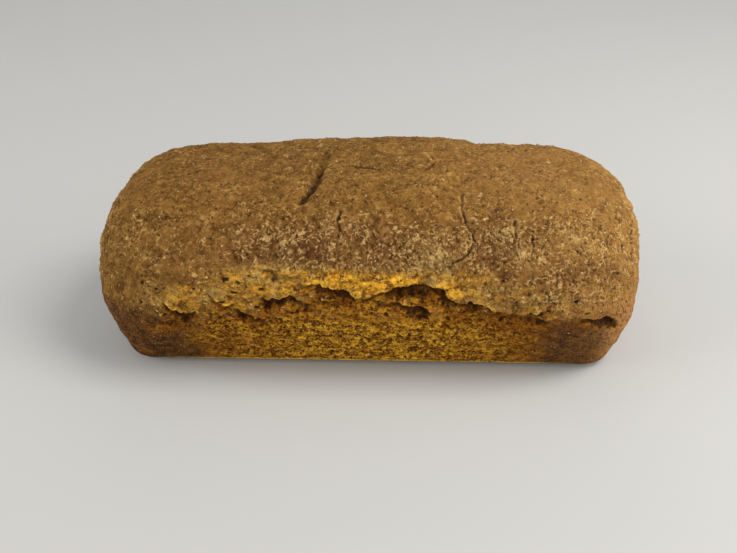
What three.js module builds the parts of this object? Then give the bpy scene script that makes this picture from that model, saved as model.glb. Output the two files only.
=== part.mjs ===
// Tin loaf: a long brown loaf that rose above the rim of its tin and tore
// along its sides as it did. It is one solid body of bread.
//
// Millimetres, +Z up. The origin is on the surface the loaf stands on, under
// the middle of the loaf. +X runs along the loaf, -Y is its front.
import * as THREE from 'three';
import { mergeVertices } from 'three/addons/utils/BufferGeometryUtils.js';

// ---- driving dimensions -------------------------------------------------
const SPINE_HALF = 85;      // half length of the line the surface is swept round
const SPINE_Z = 45;         // its height above the table
const BOX = [147, 72, 101]; // half length, half width and height of the blank

// Half length to the left (-X) and right (+X) end, and half width, by height:
// a tin that tapers up to about 45 mm, then the bread's own bulge above it.
const HEIGHTS = [0, 14, 28, 42, 56, 70];
const HALF_LEFT = [131.2, 136.6, 142.4, 145.8, 145.6, 144.0];
const HALF_RIGHT = [131.3, 137.9, 143.2, 146.0, 146.7, 147.5];
const HALF_WIDTH = [49.0, 56.0, 63.1, 68.1, 70.5, 71.9];

// Height of the crown along the loaf: it sags and steps a little.
const CROWN_X = [-135, -100, -70, -40, -10, 20, 45, 60, 85, 110, 135];
const CROWN_Z = [98.8, 96.5, 97.3, 98.5, 100.2, 100.7, 100.5, 98.9, 97.4, 97.6, 97.5];
const CROWN_FALL = 10.7;    // how much lower the top is at the sides

const TIN_CORNER = 12.3;    // upright corner radius at the base, from the tin
const BULGE_CORNER = [57.3, 61.0]; // and above the rim, left and right
const CORNER_HEIGHT = 60;   // height at which that radius is reached
const SHOULDER = 42.7;      // round between the sides and the top
const FOOT = 7;             // round between the sides and the flat bottom

// Broad swells and hollows of the crust: x, y, z, radius, height.
const SWELLS = [
  [-95, -20, 98, 30, 1.0], [-60, 10, 98, 26, -0.9], [-22, -24, 98, 11, -1.6],
  [-2, -30, 98, 24, 1.2], [30, -38, 95, 20, 1.1], [52, -38, 94, 12, -1.8],
  [78, -30, 96, 22, 1.1], [110, -10, 95, 24, -0.8], [10, 22, 99, 30, 0.9],
  [70, 30, 95, 26, -1.0], [-30, 40, 93, 24, 1.0], [-105, 35, 90, 26, 0.8],
  [-75, -62, 68, 20, 1.0], [-20, -68, 66, 22, 1.6], [28, -69, 68, 18, 1.2],
  [88, -66, 60, 24, 1.5], [-118, -48, 62, 22, -0.8], [128, -36, 66, 20, 0.9],
  [-60, 68, 62, 26, 1.3], [0, 70, 66, 24, -0.9], [62, 69, 62, 24, 1.4],
  [143, 15, 58, 22, 1.0], [-143, -12, 60, 24, 1.0], [-138, 30, 74, 20, -0.8],
];

// Tears along the sides, just above where the rim of the tin held the dough:
// x, height of the lip, how far the side below it steps back.
const TEAR_FRONT = [
  [-112, 50, 0.0], [-97, 50, 1.6], [-84, 48, 1.6], [-70, 54, 1.4], [-48, 57, 2.0],
  [-26, 62, 3.2], [-6, 61, 4.0], [2, 57, 3.6], [14, 63, 4.2], [28, 66, 4.4],
  [40, 63, 4.6], [46, 57, 4.6], [60, 56, 4.0], [74, 51, 3.6], [96, 51, 2.4], [118, 48, 0.0],
];
const TEAR_BACK = [
  [-120, 52, 0.0], [-98, 55, 2.0], [-66, 60, 3.2], [-40, 57, 2.8], [-14, 52, 1.6],
  [14, 54, 2.2], [44, 60, 3.4], [76, 58, 3.0], [102, 53, 1.8], [122, 50, 0.0],
];
const TEAR_LIP = 1.1;       // the lip itself stands this far proud
const TEAR_FADE = 15;       // the step back fades out over this height
// Folds in the top crust: half width, depth, then the points of the line.
const FOLDS = [
  [4.5, 2.0, [-20, 17, 99], [-25, -13, 99], [-31, -39, 95]],
  [4.0, 1.8, [50, -22, 99], [50, -43, 94], [56, -56, 83], [50, -62, 76]],
];

const CELLS = [48, 18, 14]; // mesh cells along, across and up

// ---- the loaf's outer form, as a distance-like field ----------------------
function smooth(xs, ys, x) { // cubic curve through the knots
  const n = xs.length;
  const v = Math.min(Math.max(x, xs[0]), xs[n - 1]);
  let i = 0;
  while (i < n - 2 && v >= xs[i + 1]) i++;
  const slope = (k) => {
    if (k === 0) return (ys[1] - ys[0]) / (xs[1] - xs[0]);
    if (k === n - 1) return (ys[n - 1] - ys[n - 2]) / (xs[n - 1] - xs[n - 2]);
    const a = xs[k] - xs[k - 1], b = xs[k + 1] - xs[k];
    return (a * a * ys[k + 1] + (b * b - a * a) * ys[k] - b * b * ys[k - 1]) / (a * b * (a + b));
  };
  const h = xs[i + 1] - xs[i], t = (v - xs[i]) / h;
  return (2 * t ** 3 - 3 * t ** 2 + 1) * ys[i] + (t ** 3 - 2 * t ** 2 + t) * h * slope(i)
    + (-2 * t ** 3 + 3 * t ** 2) * ys[i + 1] + (t ** 3 - t ** 2) * h * slope(i + 1);
}
function round(a, b, r) { // meet of two faces with a round of radius r
  return (a > -r && b > -r) ? Math.hypot(a + r, b + r) - r : Math.max(a, b);
}
function form(x, y, z) {
  const k = Math.min(Math.max(z / CORNER_HEIGHT, 0), 1);
  const left = x < 0;
  const ends = left ? -x - smooth(HEIGHTS, HALF_LEFT, z) : x - smooth(HEIGHTS, HALF_RIGHT, z);
  const corner = TIN_CORNER + (BULGE_CORNER[left ? 0 : 1] - TIN_CORNER) * k;
  const plan = round(ends, Math.abs(y) - smooth(HEIGHTS, HALF_WIDTH, z), corner);
  const top = z - (smooth(CROWN_X, CROWN_Z, x) - CROWN_FALL * (Math.abs(y) / 70) ** 2);
  return round(round(plan, top, SHOULDER), -z, FOOT);
}
function normalAt(p) {
  const e = 0.5;
  return new THREE.Vector3(
    form(p.x + e, p.y, p.z) - form(p.x - e, p.y, p.z),
    form(p.x, p.y + e, p.z) - form(p.x, p.y - e, p.z),
    form(p.x, p.y, p.z + e) - form(p.x, p.y, p.z - e),
  ).normalize();
}

// ---- relief on the crust -----------------------------------------------
const step = (a, b, x) => THREE.MathUtils.smoothstep(x, a, b);
function tear(table, x, z) {
  const xs = table.map((r) => r[0]);
  if (x < xs[0] || x > xs[xs.length - 1]) return 0;
  const line = smooth(xs, table.map((r) => r[1]), x);
  const deep = Math.max(smooth(xs, table.map((r) => r[2]), x), 0);
  const below = line - z;
  const cut = step(-2.5, 3.5, below) * (1 - step(3.5, TEAR_FADE, below));
  const lip = Math.exp(-(((below + 5) / 6) ** 2)) * TEAR_LIP * Math.min(deep / 3, 1);
  return lip - deep * cut;
}
const toSegment = (() => {
  const line = new THREE.Line3(), at = new THREE.Vector3();
  return (p, a, b) => {
    line.start.fromArray(a);
    line.end.fromArray(b);
    return line.closestPointToPoint(p, true, at).distanceTo(p);
  };
})();
function relief(p) {
  let h = 0;
  for (const [x, y, z, r, up] of SWELLS) {
    const d = ((p.x - x) ** 2 + (p.y - y) ** 2 + (p.z - z) ** 2) / (r * r);
    h += up * Math.exp(-d);
  }
  for (const [width, depth, ...points] of FOLDS) {
    let d = Infinity;
    for (let i = 0; i + 1 < points.length; i++) d = Math.min(d, toSegment(p, points[i], points[i + 1]));
    h -= depth * Math.exp(-((d / width) ** 2));
  }
  if (p.y < -30) h += tear(TEAR_FRONT, p.x, p.z);
  if (p.y > 30) h += tear(TEAR_BACK, p.x, p.z);
  return h;
}

// ---- the solid -----------------------------------------------------------
function loafGeometry() {
  const box = new THREE.BoxGeometry(2, 2, 2, ...CELLS);
  box.deleteAttribute('normal');
  box.deleteAttribute('uv');
  const g = mergeVertices(box, 1e-5);
  const pos = g.attributes.position;
  const from = new THREE.Vector3(), to = new THREE.Vector3(), p = new THREE.Vector3();
  for (let i = 0; i < pos.count; i++) {
    const u = pos.getX(i), v = pos.getY(i), w = pos.getZ(i);
    from.set(u * SPINE_HALF, 0, SPINE_Z);
    to.set(u * BOX[0], v * BOX[1], (w + 1) / 2 * BOX[2]);
    const dir = to.clone().sub(from).normalize();
    let near = 0, far = 200;
    for (let k = 0; k < 40; k++) {
      const mid = (near + far) / 2;
      p.copy(from).addScaledVector(dir, mid);
      if (form(p.x, p.y, p.z) < 0) near = mid; else far = mid;
    }
    p.copy(from).addScaledVector(dir, near);
    if (p.z < 1e-3) {
      p.z = 0;                       // the flat bottom
    } else {
      p.addScaledVector(normalAt(p), relief(p) * step(2, 14, p.z));
    }
    pos.setXYZ(i, p.x, p.y, p.z);
  }
  g.computeBoundingBox();
  const b = g.boundingBox;           // stand it squarely over the origin
  g.translate(-(b.min.x + b.max.x) / 2, -(b.min.y + b.max.y) / 2, 0);
  g.computeVertexNormals();
  return g;
}

const crust = new THREE.MeshStandardMaterial({ color: 0x8f6638, roughness: 0.86, metalness: 0 });
const loaf = new THREE.Mesh(loafGeometry(), crust);
loaf.name = 'loaf';

const object = new THREE.Group();
object.add(loaf);
export default object;
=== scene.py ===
"""Tin loaf: the fine surface of the bread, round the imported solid.

The loaf is one mesh. Its outer form is the same field as the solid's, and the
relief on it (tears, folds, pits, blisters, bran) is worked out per vertex.
The same work leaves masks on the vertices, which the crust material reads.
Lengths in the mesh code are millimetres until the mesh is made.
"""

import math

import bpy
import numpy as np
from mathutils import Matrix, Vector


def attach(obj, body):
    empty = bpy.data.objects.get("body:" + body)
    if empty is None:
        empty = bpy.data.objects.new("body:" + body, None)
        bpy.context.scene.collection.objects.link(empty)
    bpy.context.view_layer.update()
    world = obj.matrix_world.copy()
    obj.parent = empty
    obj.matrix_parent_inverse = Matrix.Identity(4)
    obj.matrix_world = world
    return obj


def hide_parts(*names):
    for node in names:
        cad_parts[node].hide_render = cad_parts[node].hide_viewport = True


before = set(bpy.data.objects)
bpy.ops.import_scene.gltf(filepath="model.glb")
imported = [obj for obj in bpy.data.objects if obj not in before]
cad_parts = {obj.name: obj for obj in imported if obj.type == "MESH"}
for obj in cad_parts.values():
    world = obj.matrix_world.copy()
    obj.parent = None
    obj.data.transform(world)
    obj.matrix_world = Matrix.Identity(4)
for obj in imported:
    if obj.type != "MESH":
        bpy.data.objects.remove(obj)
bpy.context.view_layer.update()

# ------------------------------------------------------------------ form
SPINE_HALF, SPINE_Z = 85.0, 45.0
BOX = (147.0, 72.0, 101.0)
CELLS = (560, 204, 200)  # mesh cells along, across and up
TO_CAD = (-0.399, 0.556)  # from the form's own frame to the solid's

HEIGHTS = (0, 14, 28, 42, 56, 70)
HALF_LEFT = (131.2, 136.6, 142.4, 145.8, 145.6, 144.0)
HALF_RIGHT = (131.3, 137.9, 143.2, 146.0, 146.7, 147.5)
HALF_WIDTH = (49.0, 56.0, 63.1, 68.1, 70.5, 71.9)
CROWN_X = (-135, -100, -70, -40, -10, 20, 45, 60, 85, 110, 135)
CROWN_Z = (98.8, 96.5, 97.3, 98.5, 100.2, 100.7, 100.5, 98.9, 97.4, 97.6, 97.5)
CROWN_FALL, TIN_CORNER, BULGE_CORNER = 10.7, 12.3, (57.3, 61.0)
CORNER_HEIGHT, SHOULDER, FOOT = 60.0, 42.7, 7.0


def cubic_table(xs, ys, n=1600):
    """A smooth curve through the knots, as a dense table for np.interp."""
    xs, ys = np.array(xs, float), np.array(ys, float)
    m = np.gradient(ys, xs)
    x = np.linspace(xs[0], xs[-1], n)
    i = np.clip(np.searchsorted(xs, x, side="right") - 1, 0, len(xs) - 2)
    h = xs[i + 1] - xs[i]
    t = (x - xs[i]) / h
    y = (
        (2 * t**3 - 3 * t**2 + 1) * ys[i]
        + (t**3 - 2 * t**2 + t) * h * m[i]
        + (-2 * t**3 + 3 * t**2) * ys[i + 1]
        + (t**3 - t**2) * h * m[i + 1]
    )
    return x, y


LEFT, RIGHT = cubic_table(HEIGHTS, HALF_LEFT), cubic_table(HEIGHTS, HALF_RIGHT)
WIDTH, CROWN = cubic_table(HEIGHTS, HALF_WIDTH), cubic_table(CROWN_X, CROWN_Z)


def meet(a, b, r):
    return np.where(
        (a > -r) & (b > -r),
        np.hypot(np.maximum(a + r, 0), np.maximum(b + r, 0)) - r,
        np.maximum(a, b),
    )


def form(x, y, z):
    k = np.clip(z / CORNER_HEIGHT, 0, 1)
    left = x < 0
    ends = np.where(left, -x - np.interp(z, *LEFT), x - np.interp(z, *RIGHT))
    corner = TIN_CORNER + (np.where(left, *BULGE_CORNER) - TIN_CORNER) * k
    ay = np.abs(y)
    plan = meet(ends, ay - np.interp(z, *WIDTH), corner)
    top = z - (np.interp(x, *CROWN) - CROWN_FALL * (ay / 70) ** 2)
    return meet(meet(plan, top, SHOULDER), -z, FOOT)


def sstep(a, b, x):
    t = np.clip((x - a) / (b - a), 0, 1)
    return t * t * (3 - 2 * t)


def band(x, a, b, c, d):
    """0 below a, 1 from b to c, 0 above d."""
    return sstep(a, b, x) * (1 - sstep(c, d, x))


# ---------------------------------------------------------------- lattice
NX, NY, NZ = CELLS
ids = np.full((NX + 1, NY + 1, NZ + 1), -1, np.int32)
shell = np.zeros(ids.shape, bool)
shell[0] = shell[-1] = True
shell[:, 0] = shell[:, -1] = True
shell[:, :, 0] = shell[:, :, -1] = True
ids[shell] = np.arange(shell.sum(), dtype=np.int32)
I, J, K = np.nonzero(shell)
u, v, w = I / NX * 2 - 1, J / NY * 2 - 1, K / NZ
w = w + 0.072 * np.sin(2 * np.pi * w)  # rows lie closer where the bread tore
src = np.stack([u * SPINE_HALF, 0 * u, 0 * u + SPINE_Z], 1)
ray = np.stack([u * BOX[0], v * BOX[1], w * BOX[2]], 1) - src
ray /= np.linalg.norm(ray, axis=1, keepdims=True)
near, far = np.full(len(u), 20.0), np.full(len(u), 130.0)
for _ in range(18):
    mid = (near + far) / 2
    p = src + ray * mid[:, None]
    inside = form(p[:, 0], p[:, 1], p[:, 2]) < 0
    near, far = np.where(inside, mid, near), np.where(inside, far, mid)
P = src + ray * near[:, None]
e = 0.4
N = np.stack(
    [
        form(P[:, 0] + e, P[:, 1], P[:, 2]) - form(P[:, 0] - e, P[:, 1], P[:, 2]),
        form(P[:, 0], P[:, 1] + e, P[:, 2]) - form(P[:, 0], P[:, 1] - e, P[:, 2]),
        form(P[:, 0], P[:, 1], P[:, 2] + e) - form(P[:, 0], P[:, 1], P[:, 2] - e),
    ],
    1,
)
N /= np.linalg.norm(N, axis=1, keepdims=True)
X, Y, Z = P.T
count = len(P)

# ------------------------------------------------------------------ noise
_rng = np.random.default_rng(7)
PERM = _rng.permutation(256).astype(np.int32)
GRADS = _rng.normal(size=(256, 3))
GRADS = (GRADS / np.linalg.norm(GRADS, axis=1, keepdims=True)).astype(np.float32)


def noise(q, seed=0):
    """Gradient noise, about -1 to 1, one cell per unit of q."""
    q = q.astype(np.float32) + np.float32(seed * 17.37)
    c = np.floor(q)
    f = q - c
    c = c.astype(np.int32)
    s = f * f * f * (f * (f * 6 - 15) + 10)
    out = 0
    for dx in (0, 1):
        a = PERM[(c[:, 0] + dx) & 255]
        wx = s[:, 0] if dx else 1 - s[:, 0]
        for dy in (0, 1):
            b = PERM[(a + c[:, 1] + dy) & 255]
            wy = s[:, 1] if dy else 1 - s[:, 1]
            for dz in (0, 1):
                g = GRADS[PERM[(b + c[:, 2] + dz) & 255]]
                wz = s[:, 2] if dz else 1 - s[:, 2]
                d = (
                    g[:, 0] * (f[:, 0] - dx)
                    + g[:, 1] * (f[:, 1] - dy)
                    + g[:, 2] * (f[:, 2] - dz)
                )
                out = out + d * (wx * wy * wz)
    return out * 1.6


def fbm(q, octaves=3, seed=0, gain=0.5):
    total, amp = 0, 1.0
    for k in range(octaves):
        total = total + amp * noise(q * (2.03**k), seed + k)
        amp *= gain
    return total


def scaled(sx, sy=None, sz=None, at=None):
    at = P if at is None else at
    return at / np.array([sx, sy or sx, sz or sx])


def cells(q, seed=0, share=1.0):
    """Distance to the nearest point of a scattered set (one per cell, kept
    with chance share), and a random number that belongs to that point."""
    q = q.astype(np.float32) + np.float32(seed * 5.71)
    c = np.floor(q).astype(np.int32)
    best = np.full(len(q), 9.0, np.float32)
    mark = np.zeros(len(q), np.float32)
    jit = JITTER
    for dx in (-1, 0, 1):
        for dy in (-1, 0, 1):
            for dz in (-1, 0, 1):
                k = c + (dx, dy, dz)
                h = PERM[(PERM[(PERM[k[:, 0] & 255] + k[:, 1]) & 255] + k[:, 2]) & 255]
                o = jit[h]
                d = np.sqrt(((k + o[:, :3] - q) ** 2).sum(1))
                d = np.where(o[:, 3] < share, d, 9)
                hit = d < best
                best = np.where(hit, d, best)
                mark = np.where(hit, o[:, 4], mark)
    return best, mark


JITTER = np.random.default_rng(11).random((256, 5)).astype(np.float32)

# ------------------------------------------------------- where things are
front, back = sstep(-28, -46, Y), sstep(28, 46, Y)
tip = sstep(118, 136, np.abs(X))  # the two rounded ends
up = sstep(2, 12, Z)
under = 1 - sstep(0.02, 0.6, Z)
n_wide = fbm(scaled(34), 3, 1)
n_mid = fbm(scaled(11), 3, 4)
n_rag = noise(scaled(4.2), 8)
n_rag2 = noise(scaled(1.9), 9)
n_fine = noise(scaled(1.45), 12)

height = np.zeros(count)
slide = np.zeros((count, 3))
# painted shade in crevices, pits and hollows
painted_shade = np.zeros(count)  # crevices and pits
# painted highlight along the edges of tears and pockets
rim_highlight = np.zeros(count)  # thin bright edge of a tear
# partly pale bran and dough, partly painted highlight on raised crests
fleck_and_highlight = np.zeros(count)  # bran, flour and scraps of dough
# torn bread below the lips, partly darkened by painted shade
torn_and_shade = np.zeros(count)  # opened, shredded bread

# broad swells and hollows, as on the solid
SWELLS = (
    (-95, -20, 98, 30, 1.0), (-60, 10, 98, 26, -0.9), (-22, -24, 98, 11, -1.6),
    (-2, -30, 98, 24, 1.2), (30, -38, 95, 20, 1.1), (52, -38, 94, 12, -1.8),
    (78, -30, 96, 22, 1.1), (110, -10, 95, 24, -0.8), (10, 22, 99, 30, 0.9),
    (70, 30, 95, 26, -1.0), (-30, 40, 93, 24, 1.0), (-105, 35, 90, 26, 0.8),
    (-75, -62, 68, 20, 1.0), (-20, -68, 66, 22, 1.6), (28, -69, 68, 18, 1.2),
    (88, -66, 60, 24, 1.5), (-118, -48, 62, 22, -0.8), (128, -36, 66, 20, 0.9),
    (-60, 68, 62, 26, 1.3), (0, 70, 66, 24, -0.9), (62, 69, 62, 24, 1.4),
    (143, 15, 58, 22, 1.0), (-143, -12, 60, 24, 1.0), (-138, 30, 74, 20, -0.8),
)
for sx, sy, sz, r, lift in SWELLS:
    height += lift * up * np.exp(-((X - sx) ** 2 + (Y - sy) ** 2 + (Z - sz) ** 2) / r**2)
n_bump = noise(scaled(6.2), 14)
height += up * (0.55 * n_wide + 0.60 * n_mid + 0.50 * n_bump)

# ------------------------------------------------------------------ tears
# Each: side, fade of the step back below it, pull of the lip over it, how
# bright the painted highlight on its edge is, then the line as (along, height, depth).
TEARS = (
    ("front", 17, 1.9, 1.0, (
        (-30, 62, 0), (-26, 64, 1.8), (-20, 64.4, 2.8), (-13, 62.6, 3.2), (-5, 62, 2.6),
        (-1, 59, 2.2), (2, 57.8, 2.2), (6, 60, 2.8), (14, 63, 3.6), (23, 65, 4.2),
        (28, 66.2, 4.8), (35, 65, 5.2), (41, 63, 5.0), (43.5, 58.5, 4.4), (46, 56, 4.2),
        (54, 57, 3.8), (62, 55, 3.6), (67, 52, 3.4), (73, 50, 2.6), (78, 49, 1.8),
        (84, 49.5, 1.2), (97, 51, 0.6), (104, 50, 0))),
    ("front", 9, 1.2, 0.8, (
        (2, 53.5, 0), (7, 54.8, 1.2), (12, 54.4, 2.2), (17, 55, 1.4), (22, 53.5, 3.0), (27, 53.6, 2.2), (31, 52, 2.6), (35, 50, 1.2), (39, 49, 0))),
    ("front", 10, 1.4, 0.8, (
        (-54, 55, 0), (-51, 56.5, 1.2), (-47, 55, 2.6), (-43.5, 57, 1.2), (-40, 56, 2.4), (-36.5, 57.6, 1.6),
        (-33, 56, 2.8), (-29.5, 53.6, 1.6), (-26, 51.6, 1.4), (-21, 49.6, 0.6), (-17, 49, 0))),
    ("front", 8, 1.2, 0.7, (
        (-67, 50, 0), (-63.5, 49, 1.0), (-59, 46.4, 2.2), (-54, 43.5, 2.6), (-49, 41.4, 1.6), (-44, 40, 0))),
    ("front", 6, 1.3, 1.0, (
        (-100, 52.5, 0), (-97.5, 51, 2.0), (-95, 48.4, 2.8), (-92, 47.4, 2.8), (-88.5, 46.6, 2.4),
        (-86, 47.6, 1.6), (-83, 49, 0))),
    ("front", 5, 0.9, 0.6, ((-24, 57, 0), (-21, 56.4, 1.5), (-17, 54.6, 1.8), (-13, 55.4, 1.2), (-10, 57, 0))),
    ("front", 6, 1.1, 0.8, ((-78, 57.5, 0), (-74, 56, 1.6), (-71.5, 53.6, 2.4), (-68, 52.2, 1.6), (-64.5, 52.4, 0.6), (-62, 53, 0))),
    ("front", 6, 0.9, 0.3, ((-52, 70, 0), (-47, 70.4, 0.7), (-42, 69, 1.0), (-36, 68.4, 1.1), (-30, 68.8, 0.8), (-24, 70, 0))),
    ("front", 6, 1.0, 0.2, ((98, 42, 0), (106, 44, 0.8), (112, 44.5, 1.3), (120, 43.4, 2.0), (126, 42, 2.4), (130, 38.5, 1.8), (133, 34, 0))),
    ("front", 9, 1.0, 0.8, ((-114, 36, 0), (-106, 38.5, 1.0), (-99, 41, 2.0), (-93, 41.4, 2.0), (-88, 42, 1.0), (-84, 41, 0))),
    ("front", 8, 0.8, 0.3, ((78, 46, 0), (84, 47, 1.0), (91, 45.5, 1.3), (97, 46.5, 0.8), (102, 46, 0))),
    # the far side, torn in the same way
    ("back", 16, 1.8, 1.0, (
        (-116, 50, 0), (-100, 54, 1.8), (-84, 58.5, 3.0), (-66, 60.5, 3.8), (-52, 57, 3.4),
        (-46, 60, 3.0), (-33, 56, 3.0), (-20, 52.6, 2.0), (-6, 52, 1.0), (4, 51, 0))),
    ("back", 15, 1.7, 1.0, (
        (-2, 57, 0), (8, 58, 1.6), (20, 56, 2.6), (34, 60.5, 3.6), (48, 61.5, 4.0), (58, 58, 3.4),
        (70, 59, 3.4), (84, 56, 2.8), (98, 53, 1.8), (112, 52, 0.8), (120, 50, 0))),
    ("back", 8, 1.1, 0.7, ((-76, 49, 0), (-68, 48, 1.6), (-58, 45, 2.0), (-50, 46, 1.2), (-44, 45, 0))),
    ("back", 8, 1.1, 0.7, ((26, 49, 0), (36, 50, 1.8), (46, 48, 1.8), (54, 46, 0.8), (60, 46, 0))),
    ("back", 7, 0.8, 0.3, ((-14, 66, 0), (-6, 68, 1.2), (6, 67, 1.4), (14, 69, 0.8), (20, 70, 0))),
    # short ones where the ends bulged over the rim
    ("left", 7, 0.9, 0.4, ((-34, 49, 0), (-26, 50, 1.0), (-14, 48, 1.5), (-2, 49, 1.2), (6, 51, 0))),
    ("left", 6, 0.7, 0.2, ((14, 46, 0), (22, 47, 1.0), (30, 45, 1.0), (38, 45, 0))),
    ("right", 7, 0.9, 0.4, ((-20, 47, 0), (-8, 49, 1.2), (6, 48, 1.6), (16, 50, 1.2), (26, 50, 0))),
)
SIDES = {
    "front": (front, 0), "back": (back, 0),
    "left": (sstep(-112, -128, X), 1), "right": (sstep(112, 128, X), 1),
}


def tear(side, fade, pull, edge, line):
    global height, slide, painted_shade, rim_highlight, torn_and_shade
    share, axis = SIDES[side]
    line = np.array(line, float)
    lo, hi = line[0, 0] - 3, line[-1, 0] + 3
    zlo, zhi = line[:, 1].min() - fade - 6, line[:, 1].max() + 9
    along = P[:, axis]
    m = (share > 0) & (along > lo) & (along < hi) & (Z > zlo) & (Z < zhi)
    s, z, rg, rg2 = along[m], Z[m], n_rag[m], n_rag2[m]
    xs, zs = cubic_table(line[:, 0], line[:, 1], 900)
    ds = np.interp(xs, line[:, 0], line[:, 2])
    slope = np.clip(np.gradient(zs, xs), -2.2, 2.2)
    small = hi - lo < 50
    sa = s + 1.6 * n_mid[m] + (1.0 if small else 0.6) * rg
    za = z + 0.25 * rg + 0.20 * rg2 + 0.7 * n_mid[m]
    ragged = (0.60 if small else 0.45) + 0.9 * sstep(-0.35, 0.45, noise(scaled(13, 13, 20, P[m]), 64))
    za += ragged * (1.1 * noise(scaled(7.5, 7.5, 9, P[m]), 62) + 0.9 * (np.abs(noise(scaled(3.6, 3.6, 5, P[m]), 65)) - 0.25) + 0.7 * noise(scaled(1.9, 1.9, 3, P[m]), 63))
    L, D, g = np.interp(sa, xs, zs), np.interp(sa, xs, ds), np.interp(sa, xs, slope)
    patchy = np.clip(0.62 + 1.0 * noise(scaled(15, 15, 30, P[m]), 61) + 0.45 * rg, 0.05, 1.4)  # open here, nearly shut there
    D = D * share[m] * (0.66 + 0.50 * patchy)
    k = 1 / np.sqrt(1 + g * g)
    t = (za - L) * k
    lip = (0.12 + 0.17 * D) * np.clip(D / 1.2, 0, 1) * (0.55 if small else 1)
    above = lip * np.exp(-((np.maximum(t - 0.4, 0) / 2.6) ** 2))
    drop = sstep(0.35, -0.6, t)
    floor = D * (1 - sstep(1.5, fade, -t)) * (1 - 0.35 * sstep(1.2, 4.5, -t))
    edge_low = 0.8 * n_rag2[m] + 0.7 * rg  # the hollow's lower edge is ragged
    tall = 1.2 + 1.15 * D * patchy + edge_low
    hollow = band(-t, 0.1, 0.8, tall, tall + 2.0 + 0.5 * D)
    gouge = 0.70 * D * hollow * np.clip(0.15 + patchy, 0, 1)
    height[m] += np.where(t > 0.35, above, lip * (1 - drop)) - drop * floor - gouge
    # the lip hangs over the step
    hang = (0.4 if small else 0.7) * pull * np.clip(D / 2.4, 0, 1.2) * sstep(-0.7, 0.35, t) * (1 - sstep(0.35, 4.5, t))
    d3 = np.zeros((len(s), 3))
    d3[:, axis], d3[:, 2] = -g * k, k
    nn = N[m]
    d3 -= nn * (nn * d3).sum(1, keepdims=True)
    slide[m] -= d3 * hang[:, None]
    # painted shade in the hollow under the lip, a painted highlight on the lip's edge, and painted shade on the torn
    # bread below
    deep = np.clip(D / 1.8, 0, 1.2) * (0.45 + 0.60 * patchy)
    painted_shade[m] = np.maximum(painted_shade[m], ((0.72 if small else 0.55) + 0.35 * sstep(0.7, 1.2, patchy)) * np.clip(deep, 0, 1) * hollow * (1 + 0.3 * rg2))
    worn = sstep(-0.25, 0.35, n_mid[m] + 0.4 * rg)
    rim_highlight[m] = np.maximum(rim_highlight[m], edge * np.clip(D / 1.6, 0, 1) * (0.06 + 0.55 * worn) * band(t, -0.3, 0.1, 0.5, 1.6))
    torn_and_shade[m] = np.maximum(torn_and_shade[m], np.clip(D / 2, 0, 1) * band(-t, -0.2, 0.8, fade * 0.55, fade + 3))


for row in TEARS:
    tear(*row)

# pockets where the crumb pulled open, with painted shade inside and a painted highlight on the upper edge: along,
# height, half length, half height, depth
for px_, pz, pa, pb, deep_ in (
    (-70.9, 53.6, 2.6, 0.9, 1.5), (-80.1, 34.3, 1.4, 1.1, 1.1), (-69.2, 40, 1.9, 0.8, 1.2), (-42.3, 42.3, 1.8, 0.8, 1.0),
    (-83.5, 37.9, 1.6, 0.7, 0.9), (-50, 61.1, 1.9, 1.0, 0.8), (-61.1, 64.2, 1.2, 1.2, 0.8), (-64, 58.6, 2.0, 0.7, 0.9),
    (-53, 50.4, 2.2, 0.8, 1.1), (-76, 46.2, 1.8, 0.8, 1.0), (-34, 47.5, 2.0, 0.8, 1.0), (-20, 43.5, 2.0, 0.9, 0.9),
    (12, 47, 1.8, 0.8, 0.8), (33, 44, 2.2, 0.9, 0.9), (56, 46, 2.0, 0.8, 0.9), (70, 43.5, 2.2, 0.8, 0.9),
    (85.5, 50, 2.4, 0.8, 1.2), (92, 50.6, 1.4, 0.9, 1.1), (106.5, 54.5, 1.2, 0.8, 0.9), (113, 47.5, 1.6, 0.7, 0.8),
    (129, 62, 1.0, 1.0, 0.8), (-101, 45, 1.4, 0.7, 0.8), (-113, 51, 1.4, 0.7, 0.7),
):
    m = (front > 0.3) & (np.abs(X - px_) < 3 * pa) & (np.abs(Z - pz) < 4 * pb)
    a, b = (X[m] - px_ + 0.9 * n_rag[m]) / pa, (Z[m] - pz + 0.5 * n_rag[m] + 0.5 * n_rag2[m]) / pb
    r = np.hypot(a, np.where(b > 0, 1.25, 0.8) * b) * (1 + 0.4 * n_rag2[m] + 0.3 * n_fine[m])
    k_ = sstep(1.3, 0.4, r)
    height[m] -= deep_ * k_
    painted_shade[m] = np.maximum(painted_shade[m], 0.9 * k_)
    rim_highlight[m] = np.maximum(rim_highlight[m], 0.4 * band(r, 0.9, 1.3, 1.5, 2.1) * (b > 0) * sstep(-0.1, 0.4, n_rag2[m]))
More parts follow.
